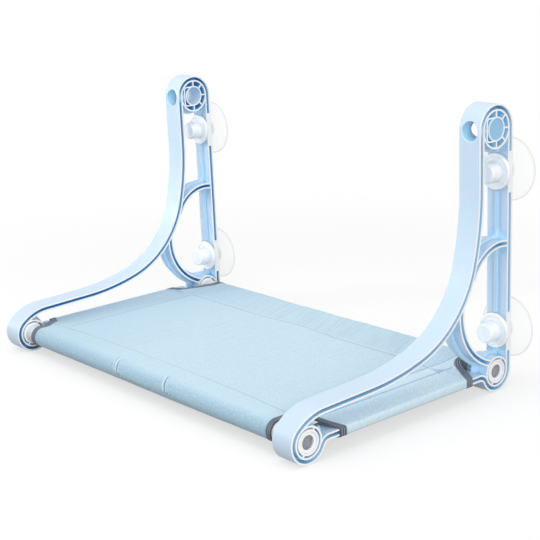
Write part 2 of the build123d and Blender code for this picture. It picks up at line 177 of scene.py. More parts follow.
# ---------------------------------------------------------------- shader maths
class Field:
    """What varies over a surface, as one socket of a node, with ordinary arithmetic."""

    def __init__(self, owner, socket):
        self.owner = owner
        self.socket = socket

    def _math(self, operation, *values):
        return self.owner.node("ShaderNodeMath", {"operation": operation}, dict(enumerate(values)))

    def __add__(self, other):
        return self._math("ADD", self, other)

    def __radd__(self, other):
        return self._math("ADD", other, self)

    def __sub__(self, other):
        return self._math("SUBTRACT", self, other)

    def __rsub__(self, other):
        return self._math("SUBTRACT", other, self)

    def __mul__(self, other):
        return self._math("MULTIPLY", self, other)

    def __rmul__(self, other):
        return self._math("MULTIPLY", other, self)

    def __pow__(self, other):
        return self._math("POWER", self, other)

    def __abs__(self):
        return self._math("ABSOLUTE", self)

    def low(self, other):
        return self._math("MINIMUM", self, other)

    def high(self, other):
        return self._math("MAXIMUM", self, other)

    def sine(self):
        return self._math("SINE", self)

    def turn_from(self, other):
        """The angle of a direction, in radians: this is its rise and the other its run."""
        return self._math("ARCTAN2", self, other)

    def step(self, start, end):
        """0 below start, 1 above end, smooth between."""
        return self.owner.node(
            "ShaderNodeMapRange",
            {"interpolation_type": "SMOOTHSTEP"},
            {"Value": self, "From Min": start, "From Max": end},
            output="Result",
        )


class NodeTree:
    """The nodes of a material or of the world."""

    def __init__(self, tree):
        self.tree = tree
        self.tree.nodes.clear()

    def feed(self, socket, value):
        """Give a socket a value or a link."""
        if isinstance(value, Field):
            self.tree.links.new(value.socket, socket)
        else:
            socket.default_value = value

    def node(self, kind, settings=None, inputs=None, output=0):
        """Any node: its settings first, then the values or links of its sockets."""
        made = self.tree.nodes.new(kind)
        for key, value in (settings or {}).items():
            if key == "stops":
                ramp = made.color_ramp
                while len(ramp.elements) < len(value):
                    ramp.elements.new(0.5)
                for element, (place, colour) in zip(ramp.elements, value):
                    element.position = place
                    element.color = colour
            else:
                setattr(made, key, value)
        for key, value in (inputs or {}).items():
            self.feed(made.inputs[key], value)
        return Field(self, made.outputs[output]) if len(made.outputs) else None

    def outputs(self, kind, names, inputs=None):
        """Several outputs of one node."""
        sockets = self.node(kind, inputs=inputs).socket.node.outputs
        return [Field(self, sockets[name]) for name in names]

    def seen(self):
        """1 for what is seen, straight or in gloss or through glass, and 0 for light it gives."""
        rays = ("Is Camera Ray", "Is Glossy Ray", "Is Transmission Ray")
        return most(self.outputs("ShaderNodeLightPath", rays))

    def place(self):
        """Object coordinates, in metres."""
        return self.node("ShaderNodeTexCoord", output="Object")

    def parts(self, vector):
        """The three numbers of a vector."""
        return self.outputs("ShaderNodeSeparateXYZ", "XYZ", {0: vector})

    def scaled(self, vector, scale, turn=0.0):
        """Coordinates scaled, then turned about the third axis."""
        inputs = {"Vector": vector, "Rotation": (0, 0, turn), "Scale": scale}
        return self.node("ShaderNodeMapping", inputs=inputs)

    def noise(self, vector, scale, detail=3.0, roughness=0.5):
        return self.node(
            "ShaderNodeTexNoise",
            inputs={"Vector": vector, "Scale": scale, "Detail": detail, "Roughness": roughness},
        )

    def cavity(self, reach):
        """0 deep down in channels and corners, 1 in the open."""
        return self.node(
            "ShaderNodeAmbientOcclusion",
            {"samples": 12, "only_local": True},
            {"Distance": reach},
            output=1,
        )

    def rounded(self, radius):
        """A normal that rounds sharp edges."""
        return self.node("ShaderNodeBevel", {"samples": 6}, {"Radius": radius})

    def mix(self, share, first, second):
        """A colour between two colours."""
        return self.node(
            "ShaderNodeMix", {"data_type": "RGBA"}, {0: share, 6: first, 7: second}, output=2
        )

    def coats(self, colour, *coats):
        """A colour with other colours laid over it in turn, each by its share."""
        for share, coat in coats:
            colour = self.mix(share, colour, coat)
        return colour

    def bump(self, height, strength, distance, normal=None):
        inputs = {"Height": height, "Strength": strength, "Distance": distance}
        if normal:
            inputs["Normal"] = normal
        return self.node("ShaderNodeBump", inputs=inputs)


class Finish(NodeTree):
    """A material in the making, round one Principled shader."""

    def __init__(self, name, **values):
        self.material = bpy.data.materials.new(name)
        self.material.use_nodes = True
        super().__init__(self.material.node_tree)
        self.shader = self.node("ShaderNodeBsdfPrincipled")
        self.set(**values)

    def set(self, **values):
        """Feed the shader's sockets, whose names have _ for a space."""
        for name, value in values.items():
            self.feed(self.shader.socket.node.inputs[name.replace("_", " ")], value)

    def show(self, surface):
        """The material, showing a shader."""
        self.node("ShaderNodeOutputMaterial", inputs={"Surface": surface})
        return self.material

    def done(self, **values):
        """The material, showing its Principled shader once that has its last values."""
        self.set(**values)
        return self.show(self.shader)


def tone(red, green, blue):
    """A colour as seen on screen, 0 to 255, as the linear colour that shaders take."""
    linear = (
        c / 12.92 if c <= 0.04045 else ((c + 0.055) / 1.055) ** 2.4
        for c in (red / 255, green / 255, blue / 255)
    )
    return (*linear, 1)


def most(fields):
    """The highest of some fields."""
    return reduce(Field.high, fields)


def from_axis(across, up):
    """How far a place is from an axis."""
    return (across * across + up * up) ** 0.5


def off_nearest(z, boxes):
    """How far a height is from the middle of the nearer of two boxes."""
    upper, lower = (abs(z - (low.z + high.z) / 2) for low, high in boxes)
    return upper.low(lower)


def inside(distance, edge, blur):
    """1 up to an edge and 0 past it."""
    return 1.0 - distance.step(edge - blur, edge + blur)


def marked(distance, width):
    """1 on a line and 0 away from it."""
    return inside(abs(distance), width / 2, width * 0.15)


def within(distance, low, high):
    """1 between two values and 0 outside them."""
    return distance.step(low - MM, low + MM) * inside(distance, high, MM)


def waves(distance, length):
    """Even waves, -1 to 1."""
    return (distance * (2 * math.pi / length)).sine()


# ---------------------------------------------------------------- materials
def frame_finish():
    """Pale blue moulded plastic, with a deeper blue painted shade down in its channels and corners
    and a nearly white painted highlight on its rims.

    The left frame's channels carry a deeper painted shade than the right one's. Painted light
    makes the socket's deep bore pale, painted shade makes the disc near the outer face blue, and
    the cross hole's wall carries a light blue painted shade.
    """
    f = Finish("ice blue moulded plastic", Specular_IOR_Level=0.5)
    place = f.place()
    x, y, z = f.parts(place)
    cavity = f.cavity(13 * MM)
    # Painted shade: a deeper, more saturated blue the more enclosed a place is, for the shade and
    # the blue bounced light in channels and corners
    stops = (
        (0.0, tone(150, 226, 255)),
        (0.14, tone(158, 222, 255)),
        (0.30, tone(200, 232, 251)),
        (0.52, tone(206, 232, 249)),
        (0.74, tone(172, 212, 243)),
        (0.93, tone(201, 222, 240)),
    )
    shade = f.node("ShaderNodeValToRGB", {"stops": stops}, {"Fac": cavity})

    # Painted shade: the left frame's channels are darkened further
    left_channel_shade = (0.0 - x).step(0, 0.1) * (1.0 - cavity.step(0.10, 0.42))
    off_middle = abs(x) - FRAME_X
    up = z - TOP_HUB_Z
    # Painted light in the socket's deep bore, painted shade on its disc near the outer face and on
    # the cross hole's wall
    socket = inside(from_axis(y - TOP_HUB_Y, up), SOCKET_R, 0.2 * MM)
    disc = abs(x).step(DISC_X - 0.2 * MM, DISC_X + 0.2 * MM)
    cross_hole = inside(from_axis(off_middle, up), CROSS_HOLE_R, 0.15 * MM)
    cross_hole = cross_hole * inside(y, CROSS_HOLE_END, MM)
    mottle = f.noise(place, 9.0, 4.0)
    from_face = abs(abs(off_middle) - FRAME_W / 2)
    # Painted highlight: a nearly white line along the rims where the faces end, kept out of the
    # channels
    rim = inside(from_face, 0.4 * MM, 0.3 * MM) * cavity.step(0.3, 0.6)
    colour = f.coats(
        shade,
        (left_channel_shade * 0.86, tone(0, 168, 230)),
        (socket * (1.0 - disc), tone(250, 253, 255)),
        (socket * disc, tone(150, 198, 230)),
        (cross_hole * 0.8, tone(178, 226, 248)),
        (mottle.step(0.35, 0.75) * 0.10, tone(192, 214, 236)),
        (rim * 0.95, tone(252, 254, 255)),
    )

    grain = f.noise(place, 2600.0, 2.0)
    flow = f.noise(f.scaled(place, (30, 30, 8)), 3.0, 3.0)
    normal = f.bump(grain + flow * 2.0, 0.06, 0.05 * MM, f.rounded(0.5 * MM))
    rough = 0.27 + flow * 0.12 + grain * 0.06
    return f.done(Base_Color=colour, Roughness=rough, Normal=normal)


def white_finish(name, reach, shade):
    """White moulded plastic, with painted shade in its steps and corners."""
    f = Finish(name, Specular_IOR_Level=0.5)
    place = f.place()
    specks = f.noise(place, 60.0, 4.0)
    # Painted shade: the given darker colour down in steps and corners, white in the open
    colour = f.coats(
        shade,
        (f.cavity(reach).step(0.15, 0.90), tone(252, 254, 255)),
        (specks.step(0.4, 0.8) * 0.12, tone(246, 249, 252)),
    )
    grain = f.noise(place, 2200.0, 2.0)
    normal = f.bump(grain, 0.05, 0.04 * MM, f.rounded(0.7 * MM))
    return f.done(Base_Color=colour, Roughness=0.32 + specks * 0.12, Normal=normal)


def stud_finish():
    """White plastic with a screw thread, drawn by a wave that climbs round each stud, with painted
    shade in the thread's grooves.
    """
    f = Finish("white threaded plastic", Specular_IOR_Level=0.5)
    place = f.place()
    x, y, z = f.parts(place)
    turn = off_nearest(z, stud_boxes).turn_from(abs(x) - FRAME_X)
    thread = (y * (2 * math.pi / THREAD_PITCH) + turn).sine()
    grain = f.noise(place, 1800.0, 2.0)
    normal = f.bump(thread * 0.5 + grain * 0.1, 0.9, 0.6 * MM)
    # Painted shade: darker in the thread's grooves
    colour = f.mix(thread.step(-1.0, 0.2), tone(190, 198, 208), tone(240, 243, 247))
    return f.done(Base_Color=colour, Roughness=0.36 + grain * 0.1, Normal=normal)


def cup_finish():
    """Clear soft vinyl: almost unseen face on, denser at the rim and round the boss."""
    f = Finish("clear soft vinyl", Specular_IOR_Level=0.35, IOR=1.4)
    place = f.place()
    x, _, z = f.parts(place)
    low, high = cup_boxes[0]
    radius = (high.z - low.z) / 2
    distance = from_axis(abs(x) - (low.x + high.x) / 2, off_nearest(z, cup_boxes))
    rim = distance.step(radius - 2.2 * MM, radius - 0.4 * MM)
    boss = inside(distance, CUP_BOSS_R, 2 * MM)
    haze = f.noise(place, 30.0, 4.0)
    edge_on = f.node("ShaderNodeLayerWeight", inputs={"Blend": 0.25}, output=1)
    cover = 0.04 + haze * 0.02 + rim * 0.14 + boss * 0.28 + edge_on * 0.08
    tint = f.mix(rim, tone(228, 232, 236), tone(196, 198, 194))
    normal = f.bump(f.noise(place, 220.0, 2.0), 0.08, 0.2 * MM)
    return f.done(Base_Color=tint, Roughness=0.08 + haze * 0.06, Alpha=cover, Normal=normal)


def tube_finish():
    """White painted steel outside, bare grey steel in the bore, with fine marks lengthwise."""
    f = Finish("white painted steel tube", Specular_IOR_Level=0.5)
    place = f.place()
    _, y, z = f.parts(place)
    off_axis = abs(y - FRONT_Y).low(abs(y - REAR_Y))
    bore = inside(from_axis(off_axis, z - HUB_Z), TUBE_BORE_R, 0.2 * MM)
    specks = f.noise(place, 90.0, 4.0)
    colour = f.coats(
        tone(222, 230, 239),
        (specks.step(0.3, 0.8), tone(232, 238, 245)),
        (bore, tone(222, 222, 230)),
    )
    marks = f.noise(f.scaled(place, (60, 1200, 1200)), 1.0, 3.0)
    normal = f.bump(marks, 0.08, 0.05 * MM)
    return f.done(Base_Color=colour, Roughness=0.38 + marks * 0.1, Normal=normal)


def panel_seams(x, y):
    """The panel's four seams and the row of stitches beside each, 1 where they run."""
    front = y - FRONT_LINE_Y + x * FRONT_LINE_LEAN + x * x * FRONT_LINE_BOW
    peak = x - REAR_PEAK_X
    rear = y - REAR_LINE_Y - (REAR_PEAK - peak * peak * REAR_PEAK_BOW).high(0.0)
    # Distance from the seam, its width, what runs along it and between which ends, how dark it
    # is and which side its stitches are on
    lines = (
        (front, SEAM_W, x, (-236 * MM, 240 * MM), 0.30 + abs(x) * 1.2, 1),
        (rear, 1.6 * MM, x, (-200 * MM, 246 * MM), 0.8, -1),
        (x - LEFT_LINE_X, SEAM_W, y, (-119 * MM, 70.5 * MM), 0.85, 1),
        (x - RIGHT_LINE_X, SEAM_W, y, (-122 * MM, 120 * MM), 0.8, -1),
    )
    seams, stitches = [], []
    for distance, width, along, ends, dark, side in lines:
        run = within(along, *ends)
        dashes = waves(along, STITCH_PITCH).step(-0.3, 0.1)
        seams.append(marked(distance, width) * run * dark)
        stitches.append(marked(distance + side * STITCH_ASIDE, STITCH_W) * dashes * run)
    return most(seams), most(stitches)


def sleeve_fold_light(x, turn):
    """The painted shade in the valleys of the front sleeve's pinched folds and the painted
    highlight beside them.
    """
    valleys, ridges = [], []
    for middle, lean, tall in SLEEVE_FOLDS:
        along = x - middle - turn * lean - turn.step(*FOLD_HOOK_TURN) * FOLD_HOOK
        strength = tall / TALLEST_FOLD
        valleys.append(marked(along, 2.6 * MM) * strength)
        ridges.append(marked(abs(along) - RIDGE_ASIDE, 1.8 * MM) * strength)
    shown = turn.step(*FOLD_RISE)
    return most(valleys) * shown, most(ridges) * shown


def cloth_finish():
    """Pale blue twill with seams, stitches, creases and pleats, with painted shade in its folds,
    creases and pleats, down the front sleeve and on the left, and painted light on the fold crests
    and the right wing.

    The map gives places on the unrolled cloth, and Object coordinates those on the deck.
    """
    f = Finish("pale blue twill", Specular_IOR_Level=0.2, Sheen_Weight=0.3, Sheen_Roughness=0.5)
    flat = f.node("ShaderNodeUVMap", {"uv_map": "UVMap"})
    u, v, _ = f.parts(flat)
    x, y, z = f.parts(f.place())
    turn = (FRONT_Y - y).turn_from(z - HUB_Z) * math.degrees(1)

    # Weave, slanting ribs, thick threads, streaks, clouds and sandy grain
    twill = waves(u + v, 1.15 * MM) + waves(u - v * 3.0, 1.15 * MM) * 0.6
    lines = waves(u + v * 0.85, 2.3 * MM)
    slanted = {"Vector": flat, "Rotation": (0, 0, 0.75), "Scale": (1 / 560, 1 / 130, 1)}
    slant = f.node("ShaderNodeMapping", {"vector_type": "TEXTURE"}, slanted)
    ribs = f.noise(slant, 1.0, 3.0, 0.6)
    slubs = f.noise(f.scaled(flat, (60, 900, 1)), 1.0, 3.0)
    streaks = f.noise(f.scaled(flat, (140, 11, 1), -0.2), 1.0, 4.0, 0.6)
    clouds = f.noise(flat, 7.0, 4.0)
    grain = f.noise(flat, 430.0, 2.0, 0.75)

    # Bands of the deck, with the masks of painted shade and painted light
    rear_band = y.step(*REAR_BAND)
    top = z.step(HUB_Z + 3 * MM, HUB_Z + 5 * MM)
    left_shade = 1.0 - x.step(-0.26, 0.02)
    right_wing_light = x.step(0.227, 0.231)
    low_front_shade = inside(z, HUB_Z - 3 * MM, 9 * MM) * inside(y, FRONT_Y + 9 * MM, 7 * MM)
    sleeve_shade = turn.step(-12, 62)
    grain_share = 0.07 + turn.step(4, 62) * 0.36

    # Sewing and folds, with painted shade in the folds' valleys, creases and pleats and a painted
    # highlight beside the valleys
    seam, stitch = (line * top for line in panel_seams(x, y))
    crease = marked(abs(x) - SIDE_CREASE_X, 1.6 * MM) * within(y, -112 * MM, 94 * MM) * top
    valley, ridge = sleeve_fold_light(x, turn)
    gather_place = {0: (x + y * 0.45) * 240, 1: y * 13, 2: z * 13}
    gathers = f.noise(f.node("ShaderNodeCombineXYZ", inputs=gather_place), 1.0, 3.0) * rear_band
    pleats = [
        marked(x - start - (REAR_Y - y) * lean, 1.3 * MM) * dark
        for start, lean, dark in REAR_PLEATS
    ]

    deep = tone(166, 198, 218)
    colour = f.coats(
        tone(199, 227, 240),
        (clouds.step(0.25, 0.8) * 0.6, tone(189, 219, 236)),
        # Painted shade: darker towards the left, and over the rear band for the shade of its
        # gathers
        (left_shade * 0.75 + rear_band * 0.22, tone(174, 208, 228)),
        # Painted light on the right wing
        (right_wing_light * 0.62, tone(230, 248, 255)),
        # The twill's ribs, drawn darker low on the front sleeve as painted shade
        (ribs.step(0.38, 0.70) * (0.34 + low_front_shade * 0.36), deep),
        (slubs.step(0.50, 0.80) * 0.35, tone(216, 232, 241)),
        # Painted shade along the soft folds of the streaks and the rear gathers
        (streaks.step(0.48, 0.80) * 0.24, deep),
        (gathers.step(0.42, 0.66) * 0.35, deep),
        # Painted shade: darker down round the front sleeve, away from the light above
        (sleeve_shade * 0.75, tone(152, 188, 207)),
        # Painted shade low on the front sleeve, under it
        (low_front_shade * 0.15, tone(140, 176, 200)),
        (grain.step(0.50, 0.60) * grain_share, tone(142, 180, 203)),
        ((1.0 - grain.step(0.36, 0.48)) * grain_share * 0.8, tone(218, 236, 245)),
        (lines.step(0.0, 1.0) * 0.07, deep),
        # Painted shade in the folds' valleys and a painted highlight on the crests beside them
        (valley * 0.78, tone(66, 122, 162)),
        (ridge * 0.62, tone(240, 248, 252)),
        # Painted shade along the rear sleeve's pleats
        (most(pleats) * rear_band * top, tone(110, 150, 176)),
        (seam * 0.72, tone(122, 156, 178)),
        # Painted shade along the side creases
        (crease * 0.60, tone(126, 158, 182)),
        (stitch * 0.34, tone(228, 238, 245)),
    )
    weave = ribs * 1.4 + lines * 0.10 + slubs * 0.5 + twill * 0.08
    sewing = stitch * 0.7 - seam * 1.6 - crease * 0.6
    folds = f.bump(streaks + gathers * 1.6, 0.30, 1.2 * MM)
    normal = f.bump(weave + sewing, 0.70, 0.4 * MM, folds)
    return f.done(Base_Color=colour, Roughness=0.84 + slubs * 0.1, Normal=normal)


def tape_finish():
    """Grey woven tape, ribbed along its length: its map gives the place along and across."""
    f = Finish("grey woven tape", Specular_IOR_Level=0.3, Sheen_Weight=0.2, Sheen_Roughness=0.4)
    flat = f.node("ShaderNodeUVMap", {"uv_map": "UVMap"})
    along, across, _ = f.parts(flat)
    ribs = waves(across, 2.6 * MM)
    weave = waves(along, 0.9 * MM)
    soft = f.noise(flat, 90.0, 3.0)
    colour = f.coats(
        tone(74, 82, 97),
        (soft.step(0.3, 0.7), tone(100, 108, 123)),
        (ribs.step(0.35, 0.95) * 0.62, tone(182, 190, 200)),
    )
    normal = f.bump(ribs + weave * 0.3, 0.6, 0.35 * MM)
    return f.done(Base_Color=colour, Roughness=0.74 + soft * 0.12, Normal=normal)


def strip_finish():
    """Hook and loop strip: a dense fine pile."""
    f = Finish("hook and loop strip", Specular_IOR_Level=0.15, Sheen_Weight=0.5)
    place = f.place()
    pile = f.node("ShaderNodeTexVoronoi", inputs={"Vector": place, "Scale": 900.0})
    soft = f.noise(place, 120.0, 4.0)
    colour = f.mix((pile + soft * 0.4).step(0.2, 0.9), tone(150, 172, 190), tone(196, 212, 226))
    normal = f.bump(pile, 0.6, 0.4 * MM)
    return f.done(Base_Color=colour, Roughness=0.85 + soft * 0.1, Normal=normal)


finishes = {
    ("side_frame",): frame_finish(),
    # The bushing's and the knob's last colours are their painted shade in steps and corners
    ("bushing",): white_finish("white nylon bushing", 3.5 * MM, tone(132, 168, 198)),
    ("knob",): white_finish("white moulded knob", 9 * MM, tone(206, 218, 232)),
    ("stud",): stud_finish(),
    ("suction_cup",): cup_finish(),
    ("front_tube", "rear_tube"): tube_finish(),
    ("hook_strip", "loop_strip"): strip_finish(),
}
for name, obj in nodes.items():
    for starts, finish in finishes.items():
        if name.startswith(starts):
            obj.data.materials.clear()
            obj.data.materials.append(finish)


# ---------------------------------------------------------------- shape of the cloth
def ease(value, start, end):
    """0 at start, 1 at end, smooth between."""
    share = min(max((value - start) / (end - start), 0.0), 1.0)
    return share * share * (3 - 2 * share)


def bump_at(distance, width):
    """A round bump, 1 in its middle."""
    return math.exp(-((distance / width) ** 2))


def wing_drop(side, y):
    """How far a side of the deck is down at a depth: 0 at the sleeves, 1 along the rail."""
    drops = (
        ease((y - corner.hub_y) * corner.toward, *corner.fall)
        for corner in CORNERS.values()
        if corner.side == side
    )
    return min(drops)


def side_height(side, x, y):
    """Height of the cloth over the panel, its falling sides and the tops of the rails."""
    drop = wing_drop(side, y) * (PANEL_Z - RAIL_TOP_Z)
    at_fold = PANEL_Z - drop * FALL_AT_FOLD
    at_rail = PANEL_Z - drop * FALL_AT_RAIL
    if x <= CREASE_X:
        return PANEL_Z
    if x <= FOLD_X:
        share = ((x - CREASE_X) / (FOLD_X - CREASE_X)) ** FALL_CURVE
        return PANEL_Z + (at_fold - PANEL_Z) * share
    if x <= INNER_X:
        share = (x - FOLD_X) / (INNER_X - FOLD_X)
        return at_fold + (at_rail - at_fold) * share
    share = (x - INNER_X) / (WRAP_X - LIP - INNER_X)
    return at_rail + (RAIL_TOP_Z - at_rail) * min(share, 1)


def sleeve_folds(x, y, z):
    """Height of the folds pinched into the front sleeve: a valley with a ridge on each side."""
    turn = math.degrees(math.atan2(FRONT_Y - y, z - HUB_Z))
    height = 0.0
    for middle, lean, tall in SLEEVE_FOLDS:
        along = x - middle - lean * turn - FOLD_HOOK * ease(turn, *FOLD_HOOK_TURN)
        height += 0.5 * tall * ease(along, 0, 4 * MM) * (1 - ease(along, 0, RAISED_REACH))
        height += 0.8 * tall * bump_at(along - RIDGE_ASIDE, 1.7 * MM)
        height -= 0.6 * tall * bump_at(along, 1.5 * MM)
        height += 0.8 * tall * bump_at(along + RIDGE_ASIDE + 0.2 * MM, 1.7 * MM)
    return height * ease(turn, *FOLD_RISE) * (1 - ease(turn, *FOLD_FADE))


def corner_folds(x, y):
    """Height of the folds that fan out over the panel from each corner's notch."""
    height = 0.0
    for corner in CORNERS.values():
        dx = INNER_X - corner.side * x
        dy = (y - corner.hub_y) * corner.toward - corner.notch[2]
        reach = math.hypot(dx, dy)
        if 4 * MM < reach < 200 * MM:
            angle = math.atan2(dy, dx)
            for length, lean, tall in CORNER_FOLDS:
                spread = (angle - lean - 0.1) * reach
                fade = bump_at(reach - length * 0.5, length * 0.35)
                height += tall * 0.5 * fade * bump_at(spread, 4.5 * MM)
    return height


def rear_folds(x, y):
    """Height of the gathers and pleats along the rear sleeve."""
    gathers = noise.noise(Vector(((x + 0.45 * y) * 110, y * 9, 5.2)))
    height = 0.30 * MM * gathers
    for start, lean, dark in REAR_PLEATS:
        fold = x - start - (REAR_Y - y) * lean
        step = (ease(fold, -2 * MM, 2 * MM) - 1) * (1 - ease(-fold, 0, RAISED_REACH))
        height += 1.5 * MM * dark * step
    return height


def rumple(x, y, z):
    """How far the cloth stands out from its smooth shape at a place."""
    height = 0.0
    if y < FRONT_Y + 4 * MM:
        height += sleeve_folds(x, y, z)
    if z > HUB_Z:
        height += corner_folds(x, y)
    rear_line = REAR_Y - REAR_SEAM
    height += ease(y, rear_line - 4 * MM, rear_line + 10 * MM) * rear_folds(x, y)
    sway = noise.noise(Vector((x * 9, y * 9, 3.1)))
    small = noise.noise(Vector((x * 34, (y + z) * 34, 7.7)))
    fine = noise.noise(Vector((x * 95, (y + z) * 120, 1.3)))
    height += 0.45 * MM * sway + 0.20 * MM * small + 0.06 * MM * fine
    return max(height, DEEPEST_FOLD)


# ---------------------------------------------------------------- grid of the cloth
def round_tube(centre_y, start, end, steps):
    """Points round a tube, from one angle to another in degrees."""
    for i in range(steps + 1):
        angle = math.radians(start + (end - start) * i / steps)
        yield centre_y + SLEEVE_R * math.cos(angle), HUB_Z + SLEEVE_R * math.sin(angle)


def straight(first, last, steps):
    """Points between two points, without the ends."""
    for i in range(1, steps):
        yield tuple(a + (b - a) * i / steps for a, b in zip(first, last))


def contact(reach):
    """Where the straight run from a seam meets the sleeve's circle, in degrees under level."""
    rise = SEAM_Z - HUB_Z
    bearing = math.degrees(math.atan2(rise, reach))
    return math.degrees(math.acos(SLEEVE_R / math.hypot(reach, rise))) - bearing


def lengths_along(points):
    """How far along a line of points each of them lies."""
    lengths = [0.0]
    for first, second in zip(points, points[1:]):
        lengths.append(lengths[-1] + math.dist(first, second))
    return lengths


# Rows, as depth and height, from the front seam under the panel round both tubes to the rear one
PANEL_ROWS = 96
LOOP_ROWS = 30
FRONT_RUN_ROWS = 9
REAR_RUN_ROWS = 16
front_loop = list(round_tube(FRONT_Y, -contact(FRONT_SEAM), -270, LOOP_ROWS))
rear_loop = list(round_tube(REAR_Y, 90, contact(REAR_SEAM) - 180, LOOP_ROWS))
front_seam = (FRONT_Y + FRONT_SEAM, SEAM_Z)
rear_seam = (REAR_Y - REAR_SEAM, SEAM_Z)
rows = [front_seam, *straight(front_seam, front_loop[0], FRONT_RUN_ROWS), *front_loop]
panel_first = len(rows) - 1
rows += straight(front_loop[-1], rear_loop[0], PANEL_ROWS)
panel_last = len(rows)
rows += [*rear_loop, *straight(rear_loop[-1], rear_seam, REAR_RUN_ROWS), rear_seam]
row_length = lengths_along(rows)

# Columns across the deck, closer together at the sleeve's pinched folds
FLAT_COLUMNS = 142
FINE_STEP = 0.9 * MM
FINE_COLUMNS = 40
FINE_STARTS = (-60.5 * MM, 36.5 * MM)
flat_columns = [SLEEVE_X * (2 * i / FLAT_COLUMNS - 1) for i in range(FLAT_COLUMNS + 1)]
flat_columns += [start + FINE_STEP * i for start in FINE_STARTS for i in range(FINE_COLUMNS)]
flat_columns.sort()

# Columns of the wraps, as reach and height: over a rail, round it and under it, and then the
# flap that comes back up under the panel
OVER_STEP = 3 * MM
UNDER_STEP = 3.5 * MM
wrap_path = [(INNER_X + OVER_STEP * i, RAIL_TOP_Z) for i in range(10)]
round_first = len(wrap_path)
wrap_path += [
    (WRAP_X - 0.5 * MM, RAIL_TOP_Z - 0.5 * MM),
    (WRAP_X, RAIL_TOP_Z - LIP),
    (WRAP_X, (RAIL_TOP_Z + RAIL_UNDER_Z) / 2),
    (WRAP_X, RAIL_UNDER_Z + LIP),
    (WRAP_X - 0.5 * MM, RAIL_UNDER_Z + 0.5 * MM),
    (WRAP_X - LIP, RAIL_UNDER_Z),
    *((WRAP_X - LIP - UNDER_STEP * i, RAIL_UNDER_Z) for i in range(1, 8)),
    (INNER_X, RAIL_UNDER_Z + 0.5 * MM),
]
flap_first = len(wrap_path)
wrap_path += [
    (INNER_X - 5 * MM, RAIL_UNDER_Z + 3.3 * MM),
    (INNER_X - 11 * MM, RAIL_UNDER_Z + 6.9 * MM),
    (INNER_X - 20 * MM, RAIL_UNDER_Z + 9.3 * MM),
    (INNER_X - 33 * MM, RAIL_UNDER_Z + 12.1 * MM),
]
wrap_length = lengths_along(wrap_path)


def cloth_point(row, column):
    """Place and unrolled place of one point of the grid, or None outside the cloth."""
    kind, side, step = column
    y, z = rows[row]
    on_panel = panel_first < row < panel_last
    if kind == "flat":
        x = flat_columns[step]
        if on_panel:
            z = side_height(1 if x > 0 else -1, abs(x), y)
        return Vector((x, y, z)), (x, row_length[row])
    starts = (WRAP_START, WRAP_START) if step < flap_first else (FLAP_START, FLAP_END)
    if not FRONT_Y + starts[0] < y < REAR_Y - starts[1] or not on_panel:
        return None
    reach, z = wrap_path[step]
    if step < round_first:
        z = side_height(side, reach, y)
    return Vector((side * reach, y, z)), (side * (INNER_X + wrap_length[step]), row_length[row])


columns = [("wrap", -1, step) for step in reversed(range(len(wrap_path)))]
columns += [("flat", 0, step) for step in range(len(flat_columns))]
columns += [("wrap", 1, step) for step in range(len(wrap_path))]
grid = [[cloth_point(row, column) for column in columns] for row in range(len(rows))]


def grid_normal(i, j):
    """The smooth outward direction at a grid point."""

    def near(di, dj):
        a, b = i + di, j + dj
        on_grid = 0 <= a < len(rows) and 0 <= b < len(columns)
        return grid[a][b][0] if on_grid and grid[a][b] else grid[i][j][0]

    normal = (near(0, 1) - near(0, -1)).cross(near(1, 0) - near(-1, 0))
    return normal.normalized() if normal.length > 0 else Vector((0, 0, 1))


# The same grid with its folds, which are shallower where the cloth is pulled round the rails
WRAPPED_SHARE = 0.4
shaped = [[None] * len(columns) for _ in rows]
for i in range(len(rows)):
    for j, (kind, _, step) in enumerate(columns):
        if grid[i][j]:
            place, flat = grid[i][j]
            wrapped = kind == "wrap" and step >= round_first
            out = rumple(*place) * (WRAPPED_SHARE if wrapped else 1)
            shaped[i][j] = (place + grid_normal(i, j) * out, flat)


# ---------------------------------------------------------------- cloth deck and edge tapes
def whole_sheet():
    """The cloth's mesh before its corners are cut, with the unrolled map in UVMap."""
    work = bmesh.new()
    flat_map = work.loops.layers.uv.new("UVMap")
    made = {}
    for i in range(len(rows) - 1):
        for j in range(len(columns) - 1):
            corners = ((i, j), (i, j + 1), (i + 1, j + 1), (i + 1, j))
            if all(shaped[a][b] for a, b in corners):
                for corner in corners:
                    if corner not in made:
                        made[corner] = work.verts.new(shaped[corner[0]][corner[1]][0])
                face = work.faces.new([made[corner] for corner in corners])
                face.smooth = True
                for loop, (a, b) in zip(face.loops, corners):
                    loop[flat_map].uv = shaped[a][b][1]
    return work


NOTCH_CUTS = 6  # at each of its two round corners


def notch_planes(name):
    """The notch of a corner as flat cuts: each a centre and the direction into the notch."""
    side, hub_y, toward, notch, _ = CORNERS[name]
    end_x = INNER_X - notch[0]
    line = [
        Vector((end_x, -1)),
        Vector((end_x, notch[1])),
        Vector((INNER_X, notch[2])),
        Vector((OUTER_X + 5 * MM, notch[3])),
    ]
    ways = []
    for first, second in zip(line, line[1:]):
        run = (second - first).normalized()
        ways.append(Vector((run.y, -run.x)))
    cuts = []
    for corner, before, after in zip(line[1:], ways, ways[1:]):
        lean = before.angle(after) / 2
        centre = corner + (before + after).normalized() * (ROUNDING / math.cos(lean))
        for i in range(NOTCH_CUTS):
            cuts.append((centre, before.lerp(after, i / (NOTCH_CUTS - 1)).normalized()))
    return [
        (
            Vector((side * centre.x, hub_y + toward * centre.y, 0)),
            Vector((side * way.x, toward * way.y, 0)),
        )
        for centre, way in cuts
    ]


def depth_in_notch(point, planes, grown):
    """How deep a point lies in a notch that is grown by a width; negative outside it."""
    return min((point - centre).dot(way) + ROUNDING + grown for centre, way in planes)


